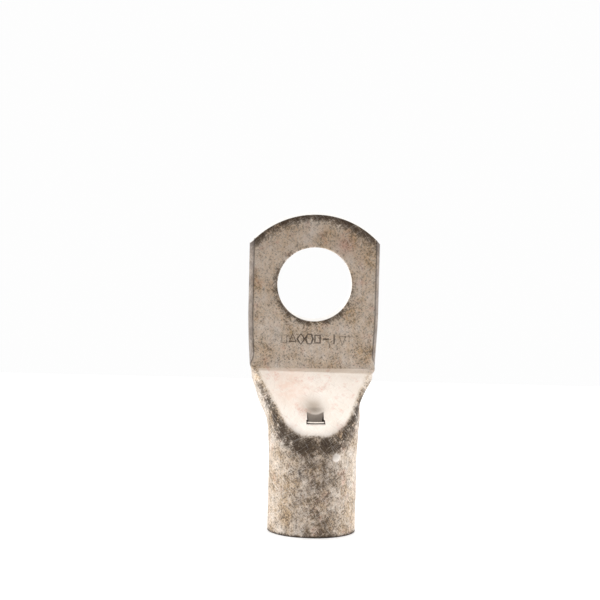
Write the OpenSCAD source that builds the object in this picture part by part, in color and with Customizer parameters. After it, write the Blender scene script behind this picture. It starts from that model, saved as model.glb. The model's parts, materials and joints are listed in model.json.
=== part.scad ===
// Tubular copper cable lug for a heavy stranded conductor, one piece of tinned copper tube.
// The open end stays a round barrel that is crimped onto the conductor. The other end is
// pressed flat into a palm with a stud hole, and a slanted dish joins the two.
// The origin is the middle of the barrel's mouth, +Z runs along the barrel towards the palm,
// and the dish and the stamped marks face -Y. The back is one flush line along +Y.

/* [Tube] */
// Bore that takes the conductor
bore_d = 15; // [10:0.5:19]
// Wall of the tube
wall = 2; // [1.2:0.1:2.6]
// Length of the round barrel, from the mouth to the foot of the dish
barrel_len = 21.8; // [16:0.2:40]
// Depth of the round bore before the tube starts to close
bore_len = 19; // [14:0.5:19.5]
// Extra half width where the barrel opens towards the neck
flare = 0.25; // [0:0.05:0.6]
// Length of the barrel that takes up the flare
flare_len = 6; // [3:0.5:10]
// Chamfer inside the mouth
mouth_chamfer = 0.4; // [0.1:0.1:0.9]

/* [Neck] */
// Height from the foot of the dish to the fold line under the palm
neck_h = 12.8; // [10:0.2:24]
// Half width of the dish at its foot
dish_foot_w = 5.1; // [3:0.1:6.5]
// Gap from the dish's rim to the folded edge at the top of the neck
rim_inset = 1.8; // [1:0.1:3]
// Hollow of the dish, below a flat ramp
dish_sag = 0.5; // [0:0.1:1]
// Roundness of the bend at the foot of the dish
foot_bend = 1.2; // [0.4:0.1:3]
// Height of the ledge where the dish ends under the palm
ledge_h = 0.75; // [0.4:0.05:1.5]
// Depth of that ledge
ledge_d = 1.3; // [0.5:0.1:1.6]
// Height over which the side folds wander from the middle of the tube to the palm
fold_run = 9; // [6:0.1:11]
// Slant of the fold line across the lug, in degrees
fold_skew = 1.3; // [-3:0.1:3]

/* [Palm] */
// Full width of the palm
palm_w = 28.2; // [26:0.2:36]
// Narrowing of each side of the palm at the fold line
palm_waist = 0.55; // [0:0.05:1.2]
// Height above the fold line where the palm reaches its full width
waist_h = 12; // [8:0.5:16]
// Bulge of the folded side edges beyond the flat faces
edge_bulge = 0.9; // [0.3:0.1:1.2]
// Hole for the stud
stud_d = 16; // [6:0.5:19]
// Height of the stud hole's middle above the fold line
stud_h = 18.2; // [17:0.2:30]
// Distance from the stud hole's middle to the tip
tip_len = 15.2; // [12:0.2:18]
// Radius of the rounded tip
tip_r = 18.7; // [16:0.1:24]

/* [Sight slot] */
// Width of the lanced slot
slot_w = 3.6; // [2:0.1:5]
// Height of the slot's lip above the foot of the dish
slot_h = 3.1; // [2.5:0.1:5]
// Length of the tongue that is pushed in above the lip
tongue_len = 3.8; // [2:0.1:5]
// Depth of the tongue's end below the dish
tongue_d = 1.6; // [0.8:0.1:2]
// Slit left open between the tongue and the lip
slit = 0.45; // [0.3:0.05:0.8]
// Depth of the soft hollow around the tongue
hollow_d = 0.7; // [0:0.1:1]
// Radius of that hollow
hollow_r = 2.6; // [1:0.1:4]

/* [Marks and drip] */
// Height of each stamped mark
mark_h = 2.4; // [1:0.1:3]
// Width of each mark
mark_w = 1.6; // [1:0.1:2]
// Width of the strokes
mark_stroke = 0.34; // [0.2:0.02:0.6]
// Distance from one mark to the next
mark_pitch = 1.8; // [1.4:0.05:2.4]
// Depth of the stamping
mark_depth = 0.2; // [0.1:0.05:0.4]
// Height of the row's middle above the fold line
mark_rise = 6.3; // [4:0.1:8]
// Radius of the tin drip on the barrel
drip_r = 1.05; // [0.5:0.05:1.5]
// How far the drip stands proud
drip_proud = 0.4; // [0.2:0.05:0.6]
// Height of the drip above the mouth
drip_z = 17.4; // [5:0.1:19]
// Angle of the drip round the barrel, from the front towards +X
drip_turn = 27; // [-60:1:60]

/* [Hidden] */

COPPER_TIN = [0.72, 0.66, 0.58];

// The tube
bore_r = bore_d / 2;
barrel_r = bore_r + wall;
flare_r = barrel_r + flare;
flare_z = barrel_len - flare_len;

// The palm: two walls pressed together, flush with the barrel's back
palm_t = 2 * wall;
palm_y = barrel_r - palm_t;
palm_hw = palm_w / 2;
fold_hw = palm_hw - palm_waist;
edge_y = barrel_r - palm_t / 2;

// Heights along the lug
foot_z = barrel_len;
fold_z = foot_z + neck_h;
ledge_z = fold_z - ledge_h;
stud_z = fold_z + stud_h;
tip_z = stud_z + tip_len;

// The ramp of the dish
ledge_y = palm_y - ledge_d;
ramp_slope = (ledge_y + barrel_r) / (ledge_z - foot_z);
ramp_angle = atan(1 / ramp_slope);
ramp_wall = wall * sqrt(1 + ramp_slope * ramp_slope);
seam_gap = 0.3;
close_z = foot_z + (2 * barrel_r - wall - ramp_wall - seam_gap) / ramp_slope;

// Angles of the section's corners: round on the barrel, full on the neck, cut short on the palm
front_turn = asin(dish_foot_w / barrel_r);
round_sweep = 90 - front_turn;
neck_sweep = 90;
edge_sweep = 2 * atan(2 * edge_bulge / palm_t);
fold_edge = 0.1;
fold_blend = 3;
widen_power = 1.6;
widen_lead = 0.6;

// Where the slot's lip lies on the ramp
lip_z = foot_z + slot_h;
lip_y = -barrel_r + ramp_slope * slot_h;
hollow_z = lip_z + tongue_len / 2 * sin(ramp_angle);

// Steps of the loft
FRONT_STEPS = 16;
BACK_STEPS = 8;
CORNER_STEPS = 8;
EDGE_STEPS = 5;
FLARE_RINGS = 4;
RAMP_RINGS = 20;
CAVITY_RINGS = 12;
WAIST_RINGS = 4;
joint_gap = 0.01;
sink = 0.5;
MARKS = 8;
SMOOTH = 128;

function mix(a, b, t) = a + (b - a) * t;
function smooth(t) = let (u = min(1, max(0, t))) u * u * (3 - 2 * u);
function share(z, z0, z1) = min(1, max(0, (z - z0) / (z1 - z0)));
// A straight ramp from nought that starts in a soft bend
function bend(t) = (t + sqrt(t * t + foot_bend * foot_bend)) / 2;
function bend_slope(t) = (1 + t / sqrt(t * t + foot_bend * foot_bend)) / 2;

// Half width of the lug at height z
function half_width(z) =
    z < foot_z ? mix(barrel_r, flare_r, smooth(share(z, flare_z, foot_z)))
    : z < fold_z ? mix(flare_r, fold_hw, pow(share(z, foot_z - widen_lead, fold_z), widen_power))
    : mix(palm_hw, fold_hw, pow(1 - share(z, fold_z, fold_z + waist_h), 1.5));

// Front of the section in the middle of the lug
function front_y(z) =
    z < ledge_z ? -barrel_r + ramp_slope * bend(z - foot_z)
    : mix(ledge_y, palm_y, share(z, ledge_z, fold_z));

// Half width of the front face: the dish's rim on the neck, the flat on the palm
function front_half(z) =
    z < fold_z
    ? mix(dish_foot_w, fold_hw - rim_inset, share(z, foot_z, ledge_z))
      + (rim_inset - fold_edge) * smooth(share(z, ledge_z - 1, fold_z))
    : half_width(z) - mix(fold_edge, edge_bulge, smooth(share(z, fold_z, fold_z + fold_blend)));

// How far the section has turned from a tube into a flattened one
function folded(z) = smooth((z - foot_z + widen_lead) / fold_run);
function side_y(z) = edge_y * folded(z);
function back_half(z) = mix(dish_foot_w, half_width(z) - edge_bulge, folded(z));
function round_crown() = barrel_r * (1 - cos(front_turn));
function front_crown(z) =
    round_crown() * (1 - smooth(share(z, foot_z - 1, foot_z + 4)))
    - dish_sag * sin(180 * share(z, foot_z, ledge_z));
function back_crown(z) = round_crown() * (1 - folded(z));
function front_sweep(z) =
    mix(mix(round_sweep, neck_sweep, smooth(share(z, foot_z - 1, foot_z + 3))),
        edge_sweep, smooth(share(z, ledge_z - 3, fold_z)));
function back_sweep(z) = mix(round_sweep, edge_sweep, folded(z));
function hollow(x, z) =
    hollow_d * exp(-(x * x + pow((z - hollow_z) / sin(ramp_angle), 2)) / pow(hollow_r, 2));

// One corner of the section, from its widest point to the end of a face. The face ends
// `inset` short of the widest point and `depth` away from it.
function corner(turn, sweep, hw, inset, depth) = [
    hw - inset * (1 - cos(turn)) / (1 - cos(sweep)),
    depth * sin(turn) / sin(sweep)
];

// Outline of the lug at height z, anticlockwise from the left end of the front face
function outline(z) =
    let (
        hw = half_width(z),
        a = front_half(z),
        b = back_half(z),
        fc = front_crown(z),
        bc = back_crown(z),
        fs = front_sweep(z),
        bs = back_sweep(z),
        sy = side_y(z),
        fy = front_y(z),
        f_depth = sy - fy - fc,
        b_depth = barrel_r - bc - sy,
        span = 1 - cos(front_turn)
    )
    concat(
        [for (i = [0:FRONT_STEPS])
            let (t = front_turn * (2 * i / FRONT_STEPS - 1), x = a * sin(t) / sin(front_turn))
            [x, fy + fc * (1 - cos(t)) / span + hollow(x, z)]],
        [for (i = [1:CORNER_STEPS])
            let (c = corner(fs * (1 - i / CORNER_STEPS), fs, hw, hw - a, f_depth))
            [c.x, sy - c.y]],
        [for (i = [1:EDGE_STEPS])
            let (c = corner(bs * i / EDGE_STEPS, bs, hw, hw - b, b_depth))
            [c.x, sy + c.y]],
        [for (i = [1:BACK_STEPS])
            let (t = front_turn * (1 - 2 * i / BACK_STEPS))
            [b * sin(t) / sin(front_turn), barrel_r - bc * (1 - cos(t)) / span]],
        [for (i = [1:EDGE_STEPS])
            let (c = corner(bs * (1 - i / EDGE_STEPS), bs, hw, hw - b, b_depth))
            [-c.x, sy + c.y]],
        [for (i = [1:CORNER_STEPS - 1])
            let (c = corner(fs * i / CORNER_STEPS, fs, hw, hw - a, f_depth))
            [-c.x, sy - c.y]]
    );

// Corners of a stamped shape, with its sides `inset` inside its full size
function mark_points(sides, turn, inset) =
    [for (i = [0:sides - 1]) let (t = turn + 360 * i / sides)
        [(mark_w / 2 - inset) * cos(t), (mark_h / 2 - inset) * sin(t)]];

// The slant grows up the neck and dies out above the fold line
function slant(z) =
    tan(fold_skew) * (smooth(share(z, foot_z, ledge_z))
        - smooth(share(z, fold_z, fold_z + waist_h / 2)));

// The outline as a ring of the outer skin, `shy` inside its true place
function outer_ring(z, shy) =
    let (hw = half_width(z), k = 1 - shy / hw)
    [for (p = outline(z)) [p.x * k, p.y * k, z - slant(z) * p.x]];

// The same ring squeezed inwards by the wall
function inner_ring(z, shy) =
    let (
        hw = half_width(z),
        slope = ramp_slope * bend_slope(z - foot_z),
        front = front_y(z),
        skin = wall * sqrt(1 + slope * slope),
        squeeze = (barrel_r - wall - front - skin) / (barrel_r - front),
        kx = (hw - wall - shy) / hw,
        ky = 1 - shy / (hw - wall)
    )
    [for (p = outline(z))
        [p.x * kx, (barrel_r - wall - (barrel_r - p.y) * squeeze) * ky, z - slant(z) * p.x]];

outer_z = concat(
    [for (i = [1:FLARE_RINGS]) mix(flare_z, foot_z - 1, i / FLARE_RINGS)],
    [for (i = [1:RAMP_RINGS]) mix(foot_z - 1, ledge_z, i / RAMP_RINGS)],
    [fold_z, fold_z + fold_blend / 2, fold_z + fold_blend],
    [for (i = [1:WAIST_RINGS]) mix(fold_z + fold_blend, fold_z + waist_h, i / WAIST_RINGS)],
    [tip_z + 1]
);
inner_z = [for (i = [1:CAVITY_RINGS]) mix(bore_len, close_z, i / CAVITY_RINGS)];

// A closed skin through rings of points that lie one above the other
module loft(rings) {
    n = len(rings[0]);
    last = len(rings) - 1;
    polyhedron(
        points = [for (ring = rings) each ring],
        faces = concat(
            [[for (i = [0:n - 1]) i]],
            [for (r = [0:last - 1], i = [0:n - 1])
                [r * n + i, (r + 1) * n + i, r * n + (i + 1) % n]],
            [for (r = [0:last - 1], i = [0:n - 1])
                [r * n + (i + 1) % n, (r + 1) * n + i, (r + 1) * n + (i + 1) % n]],
            [[for (i = [n - 1:-1:0]) last * n + i]]
        )
    );
}

module barrel() {
    cylinder(r = barrel_r, h = flare_z, $fn = SMOOTH);
}

// The neck and the palm, pressed from the same tube. It starts a little way down inside the
// barrel, a hair slimmer, so that the two skins cross and never lie in each other.
module pressed_end() {
    loft(concat(
        [outer_ring(flare_z - sink, joint_gap), outer_ring(flare_z, joint_gap)],
        [for (z = outer_z) outer_ring(z, 0)]
    ));
}

// What the press leaves of the palm's blank: straight sides and a round tip
module tip_blank() {
    translate([0, -2 * barrel_r, tip_z - tip_r])
        rotate([-90, 0, 0])
            cylinder(r = tip_r, h = 4 * barrel_r, $fn = SMOOTH);
    translate([-palm_w, -2 * barrel_r, -1])
        cube([2 * palm_w, 4 * barrel_r, tip_z - tip_r + 1]);
}

// The round bore, its chamfered mouth and the space that closes to a seam under the palm
module bore() {
    translate([0, 0, -1])
        cylinder(r = bore_r, h = bore_len + 1, $fn = SMOOTH);
    cylinder(r1 = bore_r + mouth_chamfer, r2 = bore_r, h = mouth_chamfer, $fn = SMOOTH);
    loft(concat(
        [inner_ring(bore_len - sink, joint_gap), inner_ring(bore_len, joint_gap)],
        [for (z = inner_z) inner_ring(z, 0)]
    ));
}

module stud_hole() {
    translate([0, 0, stud_z])
        rotate([-90, 0, 0])
            cylinder(d = stud_d, h = 4 * barrel_r, $fn = SMOOTH);
}

// Places its children on the ramp: +Y up the slope, +Z out of the dish, origin on the lip
module on_ramp() {
    translate([0, lip_y, lip_z])
        rotate([ramp_angle, 0, 0])
            children();
}

// A wedge as wide as the slot. It is deepest at the lip and rises to `level` up the slope.
module tongue_wedge(level) {
    rotate([90, 0, 90])
        linear_extrude(slot_w, center = true)
            polygon([
                [0, level + wall],
                [0, level - tongue_d],
                [tongue_len, level],
                [tongue_len, level + wall]
            ]);
}

module slit_cut() {
    translate([-slot_w / 2, 0, -2 * wall])
        cube([slot_w, slit, 4 * wall]);
}

// Tin that ran down the barrel and set
module drip() {
    depth = (drip_r * drip_r - drip_proud * drip_proud) / (2 * drip_proud);
    rotate([0, 0, drip_turn])
        translate([0, -barrel_r + depth, drip_z])
            sphere(r = depth + drip_proud, $fn = SMOOTH);
}

// A plain outlined shape: points round an ellipse, the first of them `turn` past +X
module outlined_mark(sides, turn) {
    difference() {
        polygon(mark_points(sides, turn, 0));
        polygon(mark_points(sides, turn, mark_stroke));
    }
}

module cross_mark() {
    lean = atan(mark_h / mark_w);
    for (turn = [lean, -lean])
        rotate(turn)
            square([mark_w, mark_stroke], center = true);
}

module bar_mark() {
    square([mark_w * 0.8, mark_stroke * 1.3], center = true);
}

// Places a child at the given step of the row
module at_step(i) {
    translate([(i - (MARKS - 1) / 2) * mark_pitch, 0])
        children();
}

// The row of plain stamped marks under the stud hole
module marks() {
    translate([0, palm_y + mark_depth, fold_z + mark_rise])
        rotate([90, 0, 0])
            linear_extrude(mark_depth * 2) {
                at_step(0)
                    outlined_mark(4, 45);
                at_step(1)
                    outlined_mark(3, 90);
                at_step(2)
                    outlined_mark(4, 0);
                at_step(3)
                    outlined_mark(6, 0);
                at_step(4)
                    outlined_mark(4, 45);
                at_step(5)
                    bar_mark();
                at_step(6)
                    cross_mark();
                at_step(7)
                    outlined_mark(3, -90);
            }
}

module cable_lug() {
    color(COPPER_TIN)
        difference() {
            union() {
                barrel();
                intersection() {
                    pressed_end();
                    tip_blank();
                }
                drip();
            }
            difference() {
                bore();
                on_ramp()
                    tongue_wedge(-wall);
            }
            on_ramp() {
                tongue_wedge(0);
                slit_cut();
            }
            stud_hole();
            marks();
        }
}

cable_lug();
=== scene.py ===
import json
from math import asin, atan, cos, pi, radians, sin, sqrt, tan
from types import SimpleNamespace

import bmesh
import bpy
from mathutils import Matrix, Vector


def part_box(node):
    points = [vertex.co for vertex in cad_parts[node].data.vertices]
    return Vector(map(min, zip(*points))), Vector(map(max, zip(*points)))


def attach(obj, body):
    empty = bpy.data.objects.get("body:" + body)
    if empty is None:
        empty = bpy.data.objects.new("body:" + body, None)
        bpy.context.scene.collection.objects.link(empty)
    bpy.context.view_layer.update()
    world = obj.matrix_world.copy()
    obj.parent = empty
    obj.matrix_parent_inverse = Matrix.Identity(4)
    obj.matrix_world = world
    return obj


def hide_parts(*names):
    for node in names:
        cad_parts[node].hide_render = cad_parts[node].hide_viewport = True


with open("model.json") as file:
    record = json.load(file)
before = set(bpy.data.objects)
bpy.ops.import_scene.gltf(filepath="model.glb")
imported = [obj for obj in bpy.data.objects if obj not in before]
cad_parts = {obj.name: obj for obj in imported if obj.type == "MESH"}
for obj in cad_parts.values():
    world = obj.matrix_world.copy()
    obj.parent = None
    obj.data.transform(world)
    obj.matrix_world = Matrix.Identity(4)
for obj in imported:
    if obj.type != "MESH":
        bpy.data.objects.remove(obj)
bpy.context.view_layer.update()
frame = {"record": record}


# ---------------------------------------------------------------------------------------------
# The tube. The lug starts as one length of soft copper tube. One end stays a round barrel, and a
# press folds the other end flat, which leaves a slanted dish between barrel and palm. Its skin is
# one loft, from the seam inside, down the bore, round the mouth and up the outside to the palm.

MM = 0.001
mounts = {m["name"]: m for m in frame["record"]["mounts"]}
bore = mounts["cable_bore"]
high = Vector(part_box("cable_lug")[1]) / MM

barrel_r = high.y
bore_r = bore["dims"]["r_mm"]
bore_end = bore["pos_m"][2] / MM + bore["dims"]["length_mm"] / 2
wall = barrel_r - bore_r
edge_y = barrel_r - wall
palm_y = barrel_r - 2 * wall
tip_z = high.z

# The dish climbs from its foot to a small ledge under the fold, where the palm begins
foot_z = 21.8
fold_z = 34.6
ledge_h = 0.75
ledge_d = 1.3
ledge_z = fold_z - ledge_h
ramp_slope = (palm_y - ledge_d + barrel_r) / (ledge_z - foot_z)
ramp_angle = atan(1 / ramp_slope)
edge_bulge = 0.9
dish_foot_w = 5.1
front_turn = asin(dish_foot_w / barrel_r)

# The dish sinks softly round the sight slot, whose lip lies a little way up it
slot_rise = 3.1
lip = Vector((0, -barrel_r + ramp_slope * slot_rise, foot_z + slot_rise))
tongue_len = 3.8


class Wire:
    """A socket of a node tree. Sums on it add Math nodes, and node() adds any other kind.

    A list for a socket links each of its wires there in turn."""

    def __init__(self, tree, socket=None):
        self.tree = tree
        self.socket = socket

    def node(self, kind, settings=(), sockets=(), out=0):
        made = self.tree.nodes.new(kind)
        for name, value in dict(settings).items():
            setattr(made, name, value)
        for key, value in dict(sockets).items():
            target = self.find(made.inputs, key)
            for one in value if isinstance(value, list) else [value]:
                if isinstance(one, Wire):
                    self.tree.links.new(one.socket, target)
                else:
                    target.default_value = one
        if not made.outputs:
            return None
        if isinstance(out, tuple):
            return [Wire(self.tree, self.find(made.outputs, o)) for o in out]
        return Wire(self.tree, self.find(made.outputs, out))

    @staticmethod
    def find(sockets, key):
        """A socket by its place in the list, or by its name."""
        if isinstance(key, int):
            return sockets[key]
        return next(s for s in sockets if key in (s.identifier, s.name) and s.enabled)

    def math(self, operation, *values):
        return self.node("ShaderNodeMath", {"operation": operation}, enumerate(values))

    def __add__(self, other):
        return self.math("ADD", self, other)

    def __radd__(self, other):
        return self.math("ADD", other, self)

    def __sub__(self, other):
        return self.math("SUBTRACT", self, other)

    def __rsub__(self, other):
        return self.math("SUBTRACT", other, self)

    def __mul__(self, other):
        return self.math("MULTIPLY", self, other)

    def __rmul__(self, other):
        return self.math("MULTIPLY", other, self)

    def __truediv__(self, other):
        return self.math("DIVIDE", self, other)

    def __pow__(self, other):
        return self.math("POWER", self, other)

    def __neg__(self):
        return self.math("MULTIPLY", self, -1.0)

    def __abs__(self):
        return self.math("ABSOLUTE", self)

    def __lt__(self, other):
        return self.math("LESS_THAN", self, other)

    def sin(self):
        return self.math("SINE", self)

    def cos(self):
        return self.math("COSINE", self)

    def exp(self):
        return self.math("EXPONENT", self)

    def sqrt(self):
        return self.math("SQRT", self)

    def sign(self):
        return self.math("SIGN", self)

    def least(self, other):
        return self.math("MINIMUM", self, other)

    def most(self, other):
        return self.math("MAXIMUM", self, other)

    def clamp(self, bottom=0.0, top=1.0):
        return self.most(bottom).least(top)

    def smooth(self):
        t = self.clamp()
        return t * t * (3 - 2 * t)

    def xyz(self):
        return self.node("ShaderNodeSeparateXYZ", (), {0: self}, out=(0, 1, 2))

    def point(self, x, y, z):
        return self.node("ShaderNodeCombineXYZ", (), {0: x, 1: y, 2: z})


def mix(a, b, t):
    """a where t is 0, b where it is 1, and straight from one to the other between."""
    return a + (b - a) * t


def share(z, z0, z1):
    """How far z is on its way from z0 to z1, from 0 to 1."""
    return ((z - z0) / (z1 - z0)).clamp()


def bell(distance, width):
    """1 at no distance, falling softly to nothing over a few widths."""
    return (-(distance / width) ** 2).exp()


def pick(condition, a, b):
    """a where the condition is 1 and b where it is 0."""
    return b + (a - b) * condition


def start_tree(name, sizes):
    """A geometry tree with one named input for each size, and those inputs as wires."""
    tree = bpy.data.node_groups.new(name, "GeometryNodeTree")
    for label, value in sizes.items():
        kind = "NodeSocketInt" if isinstance(value, int) else "NodeSocketFloat"
        tree.interface.new_socket(label, in_out="INPUT", socket_type=kind)
    tree.interface.new_socket("Geometry", in_out="OUTPUT", socket_type="NodeSocketGeometry")
    entry = tree.nodes.new("NodeGroupInput")
    names = {label: Wire(tree, entry.outputs[label]) for label in sizes}
    return tree, SimpleNamespace(**names)


def finish_tree(tree, sizes, geometry, material):
    """Runs the tree and returns its result as a plain mesh object in metres."""
    shape = geometry.node("GeometryNodeRealizeInstances", (), {"Geometry": geometry})
    shape = shape.node("GeometryNodeTransform", (), {"Geometry": shape, "Scale": (MM, MM, MM)})
    shape = shape.node("GeometryNodeSetMaterial", (), {"Geometry": shape, "Material": material})
    exit_node = tree.nodes.new("NodeGroupOutput")
    tree.links.new(shape.socket, exit_node.inputs[0])
    carrier = bpy.data.objects.new(tree.name, bpy.data.meshes.new(tree.name))
    bpy.context.scene.collection.objects.link(carrier)
    modifier = carrier.modifiers.new(tree.name, "NODES")
    modifier.node_group = tree
    for item in tree.interface.items_tree:
        if item.in_out == "INPUT":
            modifier[item.identifier] = sizes[item.name]
    graph = bpy.context.evaluated_depsgraph_get()
    mesh = bpy.data.meshes.new_from_object(carrier.evaluated_get(graph))
    bpy.data.objects.remove(carrier)
    made = bpy.data.objects.new(tree.name, mesh)
    bpy.context.scene.collection.objects.link(made)
    return made


# How many columns each quarter of the outline has: dish face, side fold, back fold, back face
FACE_COLUMNS = 38
SIDE_COLUMNS = 24
FOLD_COLUMNS = 16
BACK_COLUMNS = 32
HALF_COLUMNS = FACE_COLUMNS + SIDE_COLUMNS + FOLD_COLUMNS + BACK_COLUMNS

# The inside ends at the seam, where the two walls all but meet
seam_gap = 0.3
ramp_wall = wall * sqrt(1 + ramp_slope ** 2)
close_z = foot_z + (2 * barrel_r - wall - ramp_wall - seam_gap) / ramp_slope

# The mouth is chamfered inside and rounded outside, and the tin has left a drip on the barrel
mouth_chamfer = 0.4
mouth_round = 0.2
mouth_corner = 0.06
drip_z = 17.4
drip_turn = radians(27)
drip_r = 1.05
drip_band = 1.3
fold_band = 1.8
trimmed_off = 1

# The way of the rings: how many rows each stretch has, and the height and depth it ends at
stretches = [
    (1, close_z, wall),
    (28, bore_end, wall),
    (18, mouth_chamfer, wall),
    (2, 0.0, wall - mouth_chamfer),
    (4, 0.0, mouth_round),
    (2, mouth_corner, mouth_corner),
    (2, mouth_round, 0.0),
    (36, drip_z - drip_band, 0.0),
    (20, drip_z + drip_band, 0.0),
    (70, ledge_z, 0.0),
    (4, fold_z, 0.0),
    (8, fold_z + fold_band, 0.0),
    (80, tip_z + trimmed_off, 0.0),
    (1, tip_z + trimmed_off, 0.0),
]
ROWS = sum(rows for rows, _, _ in stretches)

palm_waist = 0.55
waist_height = 12.0
waist_curve = 1.5
hollow_r = 2.5
skin_sizes = {
    "barrel_r": barrel_r,
    "flare": 0.25,
    "palm_half_width": high.x,
    "palm_waist": palm_waist,
    "waist_height": waist_height,
    "dish_sag": 0.55,
    "foot_bend": 1.2,
    "rim_inset": 1.9,
    "fold_run": 9.0,
    "fold_slant": tan(radians(1.3)),
    "hollow_depth": 0.75,
    "hollow_radius": hollow_r,
    "press_slip": 0.43,
    "waviness": 0.06,
    "drip_proud": 0.4,
}
skin_tree, size = start_tree("tube_skin", skin_sizes)


def along(row, start, ends):
    """The value at a row of the way, which goes straight from each stretch's end to the next."""
    value, first = start, 0
    for (rows, _, _), end in zip(stretches, ends):
        if end != start:
            value = value + (row - first).clamp(0, rows) * ((end - start) / rows)
        start, first = end, first + rows
    return value


grid = size.barrel_r.node(
    "GeometryNodeMeshGrid",
    (),
    {"Size X": 1.0, "Size Y": 1.0, "Vertices X": 2 * HALF_COLUMNS + 1, "Vertices Y": ROWS + 1},
)
place = grid.node("GeometryNodeInputPosition")
across, up, _ = place.xyz()
turn = across * 2
side = turn.sign()
column = abs(turn) * HALF_COLUMNS
row = (up + 0.5) * ROWS
z = along(row, close_z, [s[1] for s in stretches])
depth = along(row, wall, [s[2] for s in stretches])
cap = share(row, 0, 1) * share(row, ROWS, ROWS - 1)

# Half width, and the front and the widest point of the section at this height
flare_len = 6
neck_lead = 0.6
neck_curve = 1.6
flare_z = foot_z - flare_len
flare_r = size.barrel_r + size.flare
fold_hw = size.palm_half_width - size.palm_waist
on_barrel = z < foot_z
on_neck = z < fold_z
neck_w = mix(flare_r, fold_hw, share(z, foot_z - neck_lead, fold_z) ** neck_curve)
waisted = (1 - share(z, fold_z, fold_z + size.waist_height)) ** waist_curve
palm_w = mix(size.palm_half_width, fold_hw, waisted)
barrel_w = mix(size.barrel_r, flare_r, share(z, flare_z, foot_z).smooth())
half_width = pick(on_barrel, barrel_w, pick(on_neck, neck_w, palm_w))

# The press has caught the two flanks of the neck unequally: one is full all the way up, and the
# other is pinched low down and full near the fold
full, full_from, full_at, full_to = 1.7, 23.5, 28, 31
knuckle, knuckle_z, knuckle_h = 1.1, 32.2, 1.3
pinch, pinch_z, pinch_h = 1.3, 27.6, 2.0
left_flank = full * share(z, full_from, full_at).smooth() * (1 - share(z, full_to, fold_z).smooth())
right_flank = knuckle * bell(z - knuckle_z, knuckle_h) - pinch * bell(z - pinch_z, pinch_h)
half_width = half_width + size.press_slip * pick(side < 0, left_flank, right_flank)

# The front bends at the dish's foot, climbs the ramp and steps over the ledge to the palm
climb = z - foot_z
bent = (climb * climb + size.foot_bend * size.foot_bend).sqrt()
ramp_y = ramp_slope * (climb + bent) / 2 - barrel_r
ramp_skin = depth * (1 + (ramp_slope * (1 + climb / bent) / 2) ** 2).sqrt()
front_y = pick(z < ledge_z, ramp_y, mix(palm_y - ledge_d, palm_y, share(z, ledge_z, fold_z)))
folded = ((z - foot_z + neck_lead) / size.fold_run).smooth()
side_y = edge_y * folded

# Half widths, crowns and sweeps of the two faces, and how far each eases in or out
fold_edge = 0.1
bulge_run = 3
foot_lead = 1
crown_run = 4
sweep_run = 3
on_dish = share(z, foot_z, ledge_z)
to_fold = share(z, ledge_z - 1, fold_z).smooth()
neck_face = mix(dish_foot_w, fold_hw - size.rim_inset, on_dish)
neck_face = neck_face + (size.rim_inset - fold_edge) * to_fold
bulging = share(z, fold_z, fold_z + bulge_run).smooth()
palm_face = half_width - mix(fold_edge, edge_bulge, bulging)
face_half = pick(on_neck, neck_face, palm_face)
back_half = mix(dish_foot_w, half_width - edge_bulge, folded)
round_crown = barrel_r * (1 - cos(front_turn))
uncrowned = share(z, foot_z - foot_lead, foot_z + crown_run).smooth()
face_crown = round_crown * (1 - uncrowned) - size.dish_sag * (on_dish * pi).sin()
back_crown = round_crown * (1 - folded)
round_sweep = pi / 2 - front_turn
edge_sweep = 2 * atan(edge_bulge / wall)
opened = share(z, foot_z - foot_lead, foot_z + sweep_run).smooth()
closed = share(z, ledge_z - sweep_run, fold_z).smooth()
face_sweep = mix(mix(round_sweep, pi / 2, opened), edge_sweep, closed)
back_sweep = mix(round_sweep, edge_sweep, folded)

# The four stretches of the half outline, each in its own share of the columns
SPAN = 1 - cos(front_turn)


def flat(t, half, y, crown):
    """Across a face, from its middle to its edge, over a low crown."""
    return half * t.sin() / sin(front_turn), y + crown * (1 - t.cos()) / SPAN


def fold(t, sweep, inset, reach):
    """Round a flank, from its widest point to the edge of a face."""
    return half_width - inset * (1 - t.cos()) / (1 - sweep.cos()), reach * t.sin() / sweep.sin()


side_start = FACE_COLUMNS
fold_start = side_start + SIDE_COLUMNS
back_start = fold_start + FOLD_COLUMNS
face_x, face_y = flat(share(column, 0, side_start) * front_turn, face_half, front_y, face_crown)
flank_x, flank_y = fold(
    (1 - share(column, side_start, fold_start)) * face_sweep,
    face_sweep,
    half_width - face_half,
    side_y - front_y - face_crown,
)
crease_x, crease_y = fold(
    share(column, fold_start, back_start) * back_sweep,
    back_sweep,
    half_width - back_half,
    barrel_r - back_crown - side_y,
)
rear_x, rear_y = flat(
    (1 - share(column, back_start, HALF_COLUMNS)) * front_turn, back_half, barrel_r, -back_crown
)
in_face = column < side_start
in_flank = column < fold_start
in_crease = column < back_start
outline_x = pick(in_face, face_x, pick(in_flank, flank_x, pick(in_crease, crease_x, rear_x)))
outline_y = pick(
    in_face, face_y, pick(in_flank, side_y - flank_y, pick(in_crease, side_y + crease_y, rear_y))
)
outline_x = outline_x * side

# The soft hollow round the sight slot, and the rings of the inside, squeezed in by the wall
lift = (z - lip.z) / sin(ramp_angle) - tongue_len / 2
hollow = size.hollow_depth * (
    -(outline_x * outline_x + lift * lift) / (size.hollow_radius * size.hollow_radius)
).exp()
outline_y = outline_y + hollow * (outline_y < side_y) * in_face
squeeze = (barrel_r - depth - front_y - ramp_skin) / (barrel_r - front_y)
ring_x = outline_x * (half_width - depth) / half_width * cap
ring_y = mix(edge_y, barrel_r - depth - (barrel_r - outline_y) * squeeze, cap)
slant_run = 6
slant = size.fold_slant * (on_dish.smooth() - share(z, fold_z, fold_z + slant_run).smooth())

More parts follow.
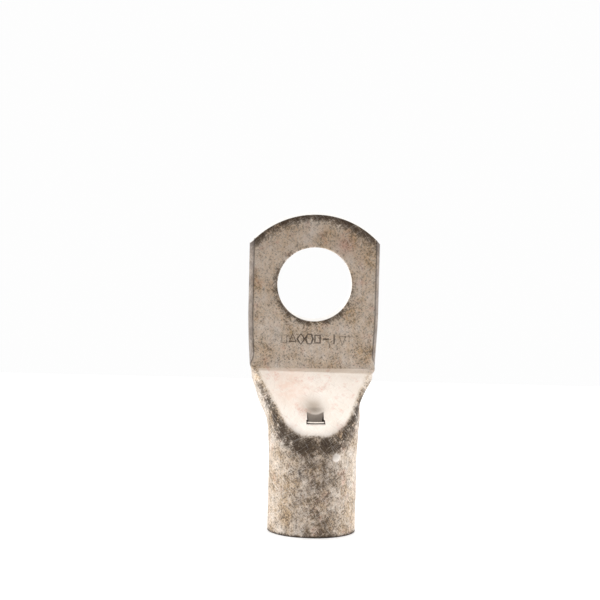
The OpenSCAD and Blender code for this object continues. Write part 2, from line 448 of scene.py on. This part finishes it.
# Handling has left the skin a little uneven, and dented it in places: x, z, radius, depth
dents = [
    (4.4, 1.3, 0.5, 0.3),
    (1.6, 0.4, 0.6, 0.2),
    (-5.2, 6.5, 1.6, 0.1),
    (2.6, 9.0, 1.2, 0.08),
]
hair = 0.01
near_middle = 0.2
flank_give = 0.2
raw = place.point(ring_x, ring_y, z)
wave = raw.node("ShaderNodeTexNoise", (), {"Vector": raw, "Scale": 0.16, "Detail": 2.0})
uneven = size.waviness * share(wave, 0.3, 0.7)
outside = depth < hair
in_front = (ring_y < side_y) * outside
for dent_x, dent_z, radius, deep in dents:
    spread = (ring_x - dent_x) * (ring_x - dent_x) + (z - dent_z) * (z - dent_z)
    uneven = uneven + deep * (spread / -(radius * radius)).exp() * in_front
middle_y = (front_y + barrel_r) / 2
toward_x = ring_x / half_width
toward_y = (ring_y - middle_y) * 2 / (barrel_r - front_y)
reach = (toward_x * toward_x + toward_y * toward_y).sqrt().most(near_middle)
inward = uneven * outside * cap / reach

# One drop of tin has set on the barrel
drip_x = (ring_x - barrel_r * sin(drip_turn)) / cos(drip_turn)
in_drip = (drip_x * drip_x + (z - drip_z) * (z - drip_z)) / (drip_r * drip_r)
inward = inward - size.drip_proud * (1 - in_drip).most(0).sqrt() * in_front
wavy_x = ring_x - inward * toward_x * pick(on_barrel, 1, flank_give)
wavy_y = ring_y - inward * toward_y
ring = place.point(wavy_x, wavy_y, z - slant * wavy_x)
weld = 0.0005
tube = grid.node("GeometryNodeSetPosition", (), {"Geometry": grid, "Position": ring})
tube = tube.node("GeometryNodeMergeByDistance", (), {"Geometry": tube, "Distance": weld})
tin = bpy.data.materials.new("tinned_copper")
lug = finish_tree(skin_tree, skin_sizes, tube, tin)


# ---------------------------------------------------------------------------------------------
# The trimmed palm. A die cuts the flat end to a shallow arc and punches the stud hole straight
# through it, from the front. The punch drags the edges over on the side it enters.

def cutter(name, rings):
    """A closed solid through rings of as many points each, in millimetres."""
    count = len(rings[0])
    points = [Vector(point) * MM for ring in rings for point in ring]
    faces = [tuple(range(count))[::-1], tuple(range(len(points) - count, len(points)))]
    for first in range(0, len(points) - count, count):
        for a in range(count):
            b = (a + 1) % count
            faces.append((first + a, first + b, first + count + b, first + count + a))
    mesh = bpy.data.meshes.new(name)
    mesh.from_pydata(points, [], faces)
    mesh.materials.append(tin)
    shell = bmesh.new()
    shell.from_mesh(mesh)
    bmesh.ops.recalc_face_normals(shell, faces=shell.faces[:])
    shell.to_mesh(mesh)
    shell.free()
    made = bpy.data.objects.new(name, mesh)
    bpy.context.scene.collection.objects.link(made)
    return made


def cut(piece, tool):
    """Takes the tool's solid out of the piece."""
    boolean = piece.modifiers.new(tool.name, "BOOLEAN")
    boolean.operation = "DIFFERENCE"
    boolean.solver = "MANIFOLD"
    boolean.object = tool
    graph = bpy.context.evaluated_depsgraph_get()
    whole = piece.data
    piece.data = bpy.data.meshes.new_from_object(piece.evaluated_get(graph))
    piece.modifiers.clear()
    bpy.data.meshes.remove(whole)
    bpy.data.objects.remove(tool)


stud_r = mounts["stud_hole"]["dims"]["r_mm"]
stud_z = mounts["stud_hole"]["pos_m"][2] / MM
stud_drag = 0.35
stud_burr = 0.12
stud_steps = 128
tip_r = 18.7
tip_drag = 0.25
die_r = 30
die_turn = 60
die_steps = 96
clear = 2

# The die's inner edge from front to back, then out and round behind it
QUARTER = [radians(15 * i) for i in range(7)]
front_edge = [(tip_drag * sin(a), palm_y + tip_drag * (1 - cos(a))) for a in QUARTER]
die_edge = [(tip_r - tip_drag + r, y) for r, y in front_edge]
die_edge += [(tip_r - tip_drag * (1 - cos(a)), barrel_r - tip_drag * (1 - sin(a))) for a in QUARTER]
die_edge += [(tip_r - tip_drag, barrel_r + clear), (die_r, barrel_r + clear)]
die_edge += [(die_r, palm_y - clear), (tip_r - tip_drag, palm_y - clear)]
arc_z = tip_z - tip_r
tip_rings = []
for i in range(die_steps + 1):
    a = radians(2 * die_turn * i / die_steps - die_turn)
    tip_rings.append([(r * sin(a), y, arc_z + r * cos(a)) for r, y in die_edge])
cut(lug, cutter("tip_die", tip_rings))

punch = [(stud_drag, palm_y - clear)]
punch += [(stud_drag * (1 - sin(a)), palm_y + stud_drag * (1 - cos(a))) for a in QUARTER]
punch += [(0.0, barrel_r - stud_burr), (stud_burr, barrel_r), (stud_burr, barrel_r + clear)]
turns = [2 * pi * i / stud_steps for i in range(stud_steps)]
stud_rings = []
for r, y in punch:
    stud_rings.append([((stud_r + r) * cos(a), y, stud_z + (stud_r + r) * sin(a)) for a in turns])
cut(lug, cutter("stud_punch", stud_rings))


# ---------------------------------------------------------------------------------------------
# The sight slot. A small tongue is sheared out of the dish and pushed in, so that the wireman
# can see whether the cable goes all the way up. The shear leaves a thin bar along its lip and a
# tear up each side.

half_slot = 1.8
tongue_d = 1.6
slit = 0.45
slit_step = 0.3
through = 4 * wall
bar = 0.36
shear = 0.3
shear_d = 0.6
tear = 0.5
tear_up = 0.75 * tongue_len
tear_d = 0.4
tear_proud = 0.2
tick = 0.22
tick_up = 0.5
snag = 0.02
draft = 0.01
on_ramp = Matrix.Translation(lip) @ Matrix.Rotation(ramp_angle, 4, "X")


def pierce(name, outline, x0, x1):
    """Cuts an outline of (out of the dish, up the dish) points, from x0 to x1, into the ramp."""
    rings = [[on_ramp @ Vector((x, up, out)) for out, up in outline] for x in (x0, x1)]
    cut(lug, cutter(name, rings))


tongue = [(clear, -draft), (-tongue_d, 0), (0, tongue_len), (clear, tongue_len)]
step_d = tongue_d - slit_step
sight = [(-step_d, 0), (-through, 0), (-through, slit), (-step_d, slit)]
low_up = -bar - shear
under_bar = [(clear / 2, low_up), (-shear_d, low_up), (-shear_d, -bar), (clear / 2, -bar)]
beside = [(clear / 2, low_up), (-shear_d, low_up), (-shear_d, tick_up), (clear / 2, tick_up)]
pierce("tongue", tongue, -half_slot, half_slot)
pierce("sight", sight, -half_slot, half_slot)
pierce("shear", under_bar, -half_slot, half_slot)
for end in (-1, 1):
    rip = [(end * half_slot, 0), (end * (half_slot - tear), 0), (end * half_slot, tear_up)]
    depths = (tear_proud, -tongue_d - tear_d)
    cut(lug, cutter("tear", [[on_ramp @ Vector((x, up, out)) for x, up in rip] for out in depths]))
    inner, outer = sorted((end * (half_slot - snag), end * (half_slot + tick)))
    pierce("tick", beside, inner, outer)


# ---------------------------------------------------------------------------------------------
# The stamped row. A steel stamp marks the palm under the stud hole with a row of plain shapes.
# The strokes are blunt grooves, and the stamp stood askew, so the ends of the row are faint.

mark_z = fold_z + 6.3
deepest = 3.6
mark_sizes = {
    "pitch": 1.8,
    "height": 2.4,
    "width": 1.6,
    "stroke": 0.24,
    "sink": 0.04,
    "faint": 0.09,
    "rise": mark_z,
    "palm_y": palm_y,
    "count": 8,
}
mark_tree, size = start_tree("stamped_row", mark_sizes)
stroke = size.stroke.node(
    "GeometryNodeCurvePrimitiveCircle", (), {"Resolution": 8, "Radius": size.stroke}, out="Curve"
)


def corners(count, turned=0.0):
    """A closed outline of count corners that fills the mark's height and width."""
    ring = stroke.node(
        "GeometryNodeCurvePrimitiveCircle", (), {"Resolution": count, "Radius": 1.0}, out="Curve"
    )
    whole = stroke.point(size.width / 2, size.height / 2, 1.0)
    ring = stroke.node("GeometryNodeTransform", (), {"Geometry": ring, "Rotation": (0, 0, turned)})
    return stroke.node("GeometryNodeTransform", (), {"Geometry": ring, "Scale": whole})


def straight(x, y):
    """A stroke through the mark's middle, reaching x and y of its half width and height."""
    half_w = size.width * x / 2
    half_h = size.height * y / 2
    start = stroke.point(-half_w, -half_h, 0.0)
    end = stroke.point(half_w, half_h, 0.0)
    return stroke.node("GeometryNodeCurvePrimitiveLine", (), {"Start": start, "End": end})


box_turn = pi / 4
shapes = [
    corners(4, box_turn),
    corners(3, pi / 2),
    corners(4),
    corners(6),
    corners(4, box_turn),
    straight(0.8, 0.0),
    straight(0.0, 0.9),
    corners(3, -pi / 2),
]
solids = []
for shape in shapes:
    solid = stroke.node(
        "GeometryNodeCurveToMesh", (), {"Curve": shape, "Profile Curve": stroke, "Fill Caps": True}
    )
    solids.append(stroke.node("GeometryNodeGeometryToInstance", (), {"Geometry": solid}))
stamp = stroke.node("GeometryNodeJoinGeometry", (), {"Geometry": solids[::-1]})
first = stroke.point(size.pitch * (1 - size.count) / 2, 0.0, 0.0)
step = stroke.point(size.pitch, 0.0, 0.0)
line = {"Count": size.count, "Start Location": first, "Offset": step}
spots = stroke.node("GeometryNodeMeshLine", (), line)
index = stroke.node("GeometryNodeInputIndex")
each = {"Points": spots, "Instance": stamp, "Pick Instance": True, "Instance Index": index}
row_of_marks = stroke.node("GeometryNodeInstanceOnPoints", (), each)
from_deepest = (index - deepest) / deepest
faint = stroke.point(0.0, 0.0, size.faint * from_deepest * from_deepest)
lifted = {"Instances": row_of_marks, "Translation": faint}
row_of_marks = stroke.node("GeometryNodeTranslateInstances", (), lifted)
stand = stroke.point(0.0, size.palm_y - size.sink, size.rise)
upright = {"Geometry": row_of_marks, "Translation": stand, "Rotation": (pi / 2, 0, 0)}
row_of_marks = stroke.node("GeometryNodeTransform", (), upright)
cut(lug, finish_tree(mark_tree, mark_sizes, row_of_marks, tin))


# ---------------------------------------------------------------------------------------------
# The tin coat. The copper is dipped in tin, which has gone dull and yellow with keeping. Brown
# dirt has settled where the press and the die have roughened it: along the tip and in the stamp,
# and the coat is darker in a band round the dish's rim. Shade is painted into the coat as well: in
# the sight slot, along the mouth, down the middle of the barrel's front and on the palm's folded
# edges. Where tools have rubbed it through, copper shows. Lengths are millimetres.

tin.use_nodes = True
tin.node_tree.nodes.clear()
paint = Wire(tin.node_tree)
where = paint.node("ShaderNodeTexCoord", out="Object")
enlarged = {"Vector": where, "Scale": 1 / MM}
where = where.node("ShaderNodeVectorMath", {"operation": "SCALE"}, enlarged, out="Vector")
x, y, z = where.xyz()


def colour(red, green, blue):
    """A colour as a screen shows it, 0 to 255, in the linear values that a node takes."""
    return tuple(((c / 255 + 0.055) / 1.055) ** 2.4 for c in (red, green, blue)) + (1.0,)


pale_tin = colour(244, 236, 228)
aged_tin = colour(212, 186, 154)
bright_tin = colour(250, 244, 236)
clean_tin = colour(240, 234, 228)
cut_metal = colour(252, 250, 247)
edge_strip_shade_grey = colour(122, 112, 106)
stain_and_reflection_brown = colour(122, 98, 74)
rubbed_copper = colour(214, 158, 138)
pink_copper = colour(232, 196, 176)
brown_dirt_and_shade = colour(86, 72, 56)
brown_speck = colour(84, 70, 56)
funnel_shade_brown = colour(146, 126, 104)
tongue_shade_brown = colour(84, 72, 60)
dark_scratch = colour(70, 56, 46)
dark_dot = colour(60, 46, 38)
black_marks_and_shadow = colour(36, 28, 24)


def grain(scale, detail=3.0, stretch=(1, 1, 1), rough=0.6):
    """Noise of so many grains per millimetre, from 0 to 1."""
    pull = {0: where, 1: stretch}
    pulled = where.node("ShaderNodeVectorMath", {"operation": "MULTIPLY"}, pull, out="Vector")
    sockets = {"Vector": pulled, "Scale": scale, "Detail": detail, "Roughness": rough}
    return where.node("ShaderNodeTexNoise", {"noise_dimensions": "3D"}, sockets, out="Fac")


def tint(amount, under, over):
    """The colour over, laid on the colour under by an amount from 0 to 1."""
    sockets = {"Factor_Float": amount, "A_Color": under, "B_Color": over}
    return amount.node("ShaderNodeMix", {"data_type": "RGBA"}, sockets, out="Result_Color")


cloud = grain(0.22, 4.0)
patch = grain(0.6, 4.0)
fleck = grain(2.4, 4.0, rough=0.75)
pepper = grain(4.5, 2.0)
streak = grain(1.6, 3.0, (1, 1, 0.12))

# How far from the hole, the tip's edge and the dish's rim
rim_slope = 0.555
rim_corner = 3.0
on_palm = share(z, fold_z - 0.15, fold_z - 0.05)
on_tube = 1 - on_palm
in_view = 1 - share(y, edge_y - 0.5, edge_y + 0.5)
from_stud = (x * x + (z - stud_z) * (z - stud_z)).sqrt() - stud_r
from_tip = tip_r - (x * x + (z - arc_z) * (z - arc_z)).sqrt()
rim = dish_foot_w + rim_slope * (z - foot_z).most(0)
sideways = (abs(x) - rim + rim_corner).most(0)
downwards = (foot_z + rim_corner - z).most(0)
from_dish = (sideways * sideways + downwards * downwards).sqrt() - rim_corner

# Round the sight slot: how far up the ramp from the lip, and how far under its face
slot_top = tongue_len + 0.4
up_ramp = (y - lip.y) * cos(ramp_angle) + (z - lip.z) * sin(ramp_angle)
under = (y - lip.y) * sin(ramp_angle) - (z - lip.z) * cos(ramp_angle)
in_slot = share(abs(x), half_slot + 0.3, half_slot + 0.25) * share(up_ramp, -1, -0.9)
in_slot = in_slot * share(up_ramp, slot_top, tongue_len) * share(under, 6, 5.5)
deep = under - 0.5 * bell((x * x + (up_ramp - tongue_len / 2) ** 2).sqrt(), hollow_r)
# Painted shade: the sunk tongue is browned, darker towards its bottom at the lip
sunk = in_slot * share(deep, 0.06, 0.2)
# Painted shadow: the slot's crevices, under the lip and at the tongue's depth, are painted black
below_lip = share(deep, 0.12, 0.25) * share(up_ramp, 0.02, -0.02)
crack = in_slot * (below_lip + share(under, tongue_d - 0.2, tongue_d + 0.2)).clamp()
# Painted shade: the soft hollow above the sight slot is browned, a little more to the left
funnel_shade = bell(x + 0.4, 2.3) * bell(up_ramp - slot_top, 2.3) * share(under, 3, 2.5)

# The folded side edges of the palm
still_waisted = (1 - share(z, fold_z, fold_z + waist_height)) ** waist_curve
palm_hw = mix(high.x, high.x - palm_waist, still_waisted)
from_edge = abs(x) - palm_hw + edge_bulge * share(z, fold_z, fold_z + bulge_run).smooth()
# Painted shade: the strips where the folded edges turn away from the face are painted grey
edge_strip = share(from_edge, -0.05, 0.05) * on_palm
edge_line = bell(from_edge, 0.14) * on_palm * share(y, edge_y - 0.5, edge_y - 1)

# Where the dirt has settled and where shade is painted, and the noise that breaks it up into specks and
# dots
dish = share(from_dish, 0.3, -0.5) * on_tube * in_view
below_dish = share(z, foot_z + 4, foot_z)
# Darker in a band round the outside of the dish's rim, wider below its foot, fading out towards the fold
dish_rim_band = bell(from_dish - 1.2 - 0.7 * below_dish, 0.8 + 1.0 * below_dish) * on_tube * in_view
dish_rim_band = dish_rim_band * share(z, 32.5, 27.5)
# Painted shadow: the coat is darkened in a band along the mouth, where it stands on the floor
mouth_contact_shadow = bell(z, 0.5)
stamp_dirt = share(y - palm_y, 0.03, 0.12) * bell((z - mark_z) / 2, 1.0) * share(abs(x), 9, 8.5)
stamp_dirt = stamp_dirt * in_view
tip_dirt = bell(from_tip, 1.5) * share(z, stud_z + 6, stud_z + 11)
stud_dirt = bell(from_stud - 0.2, 0.8) * share(z + 0.6 * x, stud_z + 9, stud_z - 5)
# Down the middle of the barrel's front, which faces the camera: partly stain, partly painted reflection of
# the dark room
barrel_front = bell(x - 0.3, 5.0) * on_tube * share(-y, 0, 2) * (1 - dish)
dirt_and_painted_shade = 1.1 * dish_rim_band + 1.4 * tip_dirt + 0.8 * stud_dirt + 0.2 * (1 - dish)
dirt_and_painted_shade = dirt_and_painted_shade + mouth_contact_shadow + 0.3 * barrel_front
dirt_and_painted_shade = dirt_and_painted_shade * share(patch + 0.4 * fleck, 0.42, 0.85) * 1.4
specks = share(fleck + 0.3 * dirt_and_painted_shade - 0.14 * dish + 0.35 * (cloud - 0.5), 0.58, 0.7)
dots = share(pepper + 0.1 * dirt_and_painted_shade - 0.08 * dish + 0.4 * (patch - 0.5), 0.71, 0.77)
film = (0.55 + 2.2 * (cloud - 0.5) + 0.9 * (streak - 0.5)) * (1 - 0.8 * dish)

# Copper shows in worn patches, and in one at the tip that is rubbed right through
worn_x, worn_z, worn_r = 6.6, 61.4, 1.7
worn = bell(((x - worn_x) ** 2 + (z - worn_z) ** 2).sqrt(), worn_r)
rubbed = share(grain(0.35, 3.0), 0.56, 0.7) * share(fleck, 0.35, 0.6)
rubbed = rubbed + worn * share(fleck, 0.3, 0.55) * 1.4


def scratches(angle, seed, keep):
    """Fine scratches that run at an angle from level, as lines of 1 on 0."""
    along_it = x * cos(angle) + z * sin(angle)
    over_it = z * cos(angle) - x * sin(angle)
    line = where.point(along_it * 0.35 + y * 0.2, over_it * 5.0, seed)
    sockets = {"Vector": line, "Scale": 1.0, "Detail": 1.0}
    line = where.node("ShaderNodeTexNoise", {"noise_dimensions": "3D"}, sockets, out="Fac")
    return share(line, keep, keep + 0.03)


bright_lines = (scratches(0.6, 1.0, 0.62) + scratches(-0.9, 2.0, 0.63) + scratches(2.1, 3.0, 0.64)).clamp()
dark_lines = (scratches(1.2, 4.0, 0.65) + scratches(-0.5, 5.0, 0.65)).clamp()

# Single marks: a leaning nick in the barrel, a pink blush in the dish, and the clean drip of tin
nick_x, nick_z, nick_r = -3.4, 14.0, 0.35
nick_lean = 0.25
leaning = x - nick_x + nick_lean * (z - nick_z)
nick = bell((leaning ** 2 + 0.3 * (z - nick_z - 0.1) ** 2).sqrt(), nick_r) * on_tube * in_view
blush_x, blush_z, blush_r = -5, 31.5, 3.4
blush = bell(((x - blush_x) ** 2 + (z - blush_z) ** 2).sqrt(), blush_r) * dish
blush = blush * share(patch, 0.3, 0.6)
drip_mark_x = 4.4
drip_squash = 0.9
drip_far = (((x - drip_mark_x) / drip_squash) ** 2 + (z - drip_z) ** 2).sqrt()
on_drip = share(drip_far, drip_r, drip_r - 0.3) * share(-y, 6, 7)

# Stained tin down the barrel's front, darkest at its middle with painted reflection of the dark
# room; bare metal where it is punched or trimmed; painted shadow in black in the slot's crevices
# and along the mouth, with black dirt in the stamp and the nick and a dark line on the palm's edges
stain_and_dark_reflection = barrel_front * (0.45 + 0.9 * (patch - 0.5) + 0.6 * (streak - 0.5))
punched = share(from_stud, 0.14, 0.06)
trimmed = share(from_tip, 0.1, 0.05) * share(z, arc_z + 5, arc_z + 6)
bare = (punched + trimmed).clamp() * on_palm * share(y, palm_y + 0.1, palm_y + 0.2)
dark_marks_and_shadow = crack + stamp_dirt * 0.7 + bell(z, 0.28) * 0.9 + edge_line * 0.65 + nick * 0.8

# Each layer of the coat, from the tin up: how much of it lies there, and its colour
layers = [
    (stain_and_dark_reflection, stain_and_reflection_brown),
    (rubbed * 0.55, rubbed_copper),
    ((dirt_and_painted_shade * 0.8).clamp(), brown_dirt_and_shade),
    (specks * 0.65, brown_speck),
    (dots * 0.8, dark_dot),
    (dark_lines * (0.3 - 0.2 * dish), dark_scratch),
    (bright_lines * (0.36 - 0.2 * dirt_and_painted_shade.clamp()), bright_tin),
    (edge_strip * (0.35 + 0.8 * patch), edge_strip_shade_grey),
    (blush * 0.6, pink_copper),
    (funnel_shade * 0.6, funnel_shade_brown),
    (sunk * (0.85 - 0.1 * up_ramp), tongue_shade_brown),
    (on_drip * 0.8, clean_tin),
    (bare * 0.9, cut_metal),
    (dark_marks_and_shadow.clamp(), black_marks_and_shadow),
]
skin_colour = tint(film.clamp(), pale_tin, aged_tin)
for amount, over in layers:
    skin_colour = tint(amount, skin_colour, over)
dull = (0.8 * specks + 0.7 * dirt_and_painted_shade + dark_marks_and_shadow + 0.5 * sunk).clamp()
rough = 0.36 + 0.12 * cloud + 0.25 * dull
height = fleck * 0.6 - dots * 0.8 + 0.5 * patch - 0.4 * dark_lines + 0.2 * bright_lines
bump = where.node("ShaderNodeBump", (), {"Strength": 0.35, "Distance": 0.05 * MM, "Height": height})
shine = where.node(
    "ShaderNodeBsdfPrincipled",
    (),
    {"Base Color": skin_colour, "Metallic": 0.9 - 0.5 * dull, "Roughness": rough, "Normal": bump},
)
where.node("ShaderNodeOutputMaterial", (), {"Surface": shine})

lug.data.shade_smooth()
lug.data.set_sharp_from_angle(angle=radians(35))
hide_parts("cable_lug")
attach(lug, "root")


# ---------------------------------------------------------------------------------------------
# The studio. The lug stands on a white sheet that ends a little way behind it, inside a tent of
# white cloth. Only the side the camera looks from is open to a dim, warm room.

view = bpy.context.scene.view_settings
view.view_transform = "Standard"
azimuth = radians(-4.5)
elevation = radians(8.3)
roll = radians(1.35)
sheet_half = 0.25
sheet_front = -0.113
sheet_back = 0.2
floor = bpy.data.objects.new("floor", bpy.data.meshes.new("floor"))
near = [(-sheet_half, sheet_front, 0), (sheet_half, sheet_front, 0)]
far = [(sheet_half, sheet_back, 0), (-sheet_half, sheet_back, 0)]
floor.data.from_pydata(near + far, [], [(0, 1, 2, 3)])
floor.rotation_euler.z = azimuth
bpy.context.scene.collection.objects.link(floor)
sheet = bpy.data.materials.new("white_sheet")
sheet.use_nodes = True
paper = sheet.node_tree.nodes["Principled BSDF"].inputs
paper["Base Color"].default_value = (0.92, 0.92, 0.92, 1)
paper["Roughness"].default_value = 0.7
paper["Emission Color"].default_value = (1, 1, 1, 1)
paper["Emission Strength"].default_value = 0.3
floor.data.materials.append(sheet)

world = bpy.data.worlds.new("tent")
bpy.context.scene.world = world
world.use_nodes = True
world.node_tree.nodes.clear()
air = Wire(world.node_tree)
_, dy, dz = air.node("ShaderNodeTexCoord", out="Generated").xyz()

# White cloth all round, a little lighter overhead, with the warm room low down in front
room = share(-dy, -0.1, 0.85).smooth() * (1 - share(dz, 0.3, 0.9).smooth())
cloth = 0.985 + 0.12 * share(dz, 0.0, 0.6)
white = air.node("ShaderNodeCombineColor", (), {0: cloth, 1: cloth, 2: cloth})
warm_room = (0.36, 0.31, 0.27, 1)
tone = tint(room, white, warm_room)
glow = air.node("ShaderNodeBackground", (), {"Color": tone, "Strength": 1.0})
air.node("ShaderNodeOutputWorld", (), {"Surface": glow})


# Three softboxes light the tent from above and from both sides
lit_point = Vector((0, 0, 0.03))


def softbox(name, width, spot, power):
    """A square lamp at a spot, turned to the lug."""
    lamp = bpy.data.lights.new(name, "AREA")
    lamp.shape = "SQUARE"
    lamp.size = width
    lamp.energy = power
    made = bpy.data.objects.new(name, lamp)
    made.location = spot
    made.rotation_euler = (lit_point - Vector(spot)).to_track_quat("-Z", "Y").to_euler()
    bpy.context.scene.collection.objects.link(made)


softbox("top_light", 0.5, (0, 0.05, 0.6), 0.32)
softbox("left_light", 0.4, (-0.5, 0.35, 0.2), 0.8)
softbox("right_light", 0.4, (0.5, 0.35, 0.2), 0.6)

# The camera looks a little down on the lug, from slightly to its left
camera = bpy.data.objects.new("camera", bpy.data.cameras.new("camera"))
bpy.context.scene.collection.objects.link(camera)
bpy.context.scene.camera = camera
camera.data.lens = 277.6
away = Vector((sin(azimuth), -cos(azimuth), 0)) * cos(elevation) + Vector((0, 0, sin(elevation)))
turned = (-away).to_track_quat("-Z", "Y").to_matrix() @ Matrix.Rotation(roll, 3, "Z")
aim_right = -2.36
aim_up = 49.7
distance = 1.0
aim = turned @ Vector((aim_right, aim_up, 0)) * MM
camera.location = aim + away * distance
camera.rotation_euler = turned.to_euler()
